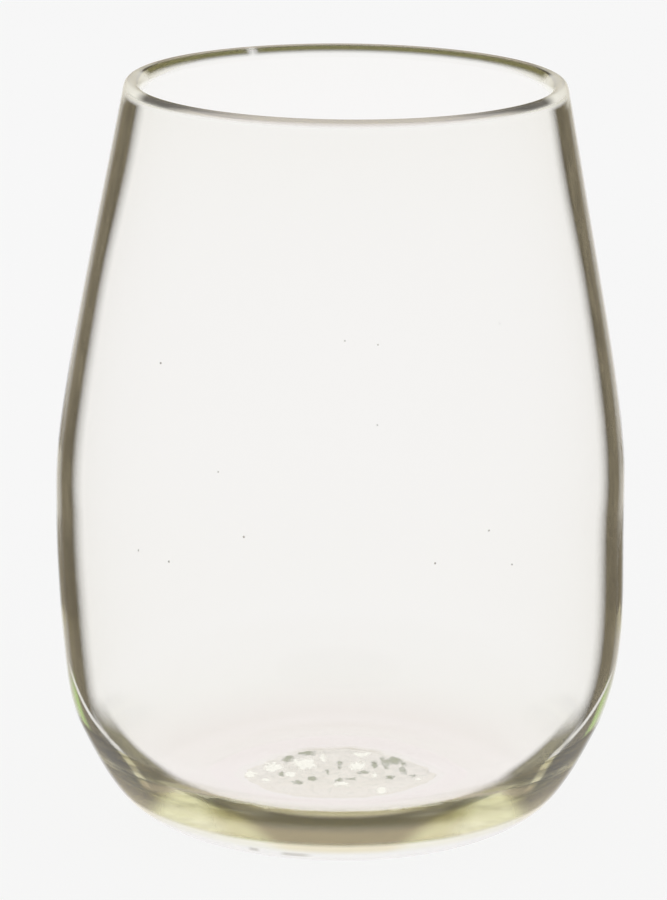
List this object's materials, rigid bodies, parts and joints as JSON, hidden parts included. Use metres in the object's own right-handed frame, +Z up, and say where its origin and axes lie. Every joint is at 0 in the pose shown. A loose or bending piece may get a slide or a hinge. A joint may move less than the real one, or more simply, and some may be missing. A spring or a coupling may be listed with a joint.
{
  "type": "stemless drinking tumbler",
  "caption": "Stemless blown-glass tumbler with a tapered mouth, rounded belly, heavy curved base and a rough pontil scar underneath, for holding a drink.",
  "frame": {"origin": "centre of the standing ring, on the table plane", "axes": "+Z up along the glass's axis towards the mouth, -Y towards the viewer of the picture"},
  "size_m": [0.0884, 0.0884, 0.1156],
  "materials": {
    "bowl_glass": "fire-polished clear glass with a faint olive tint",
    "scar_glass": "broken glass, chipped and partly dulled"
  },
  "bodies": {
    "root": {"blown_bowl": "bowl_glass", "pontil_scar": "scar_glass"}
  },
  "joints": []
}
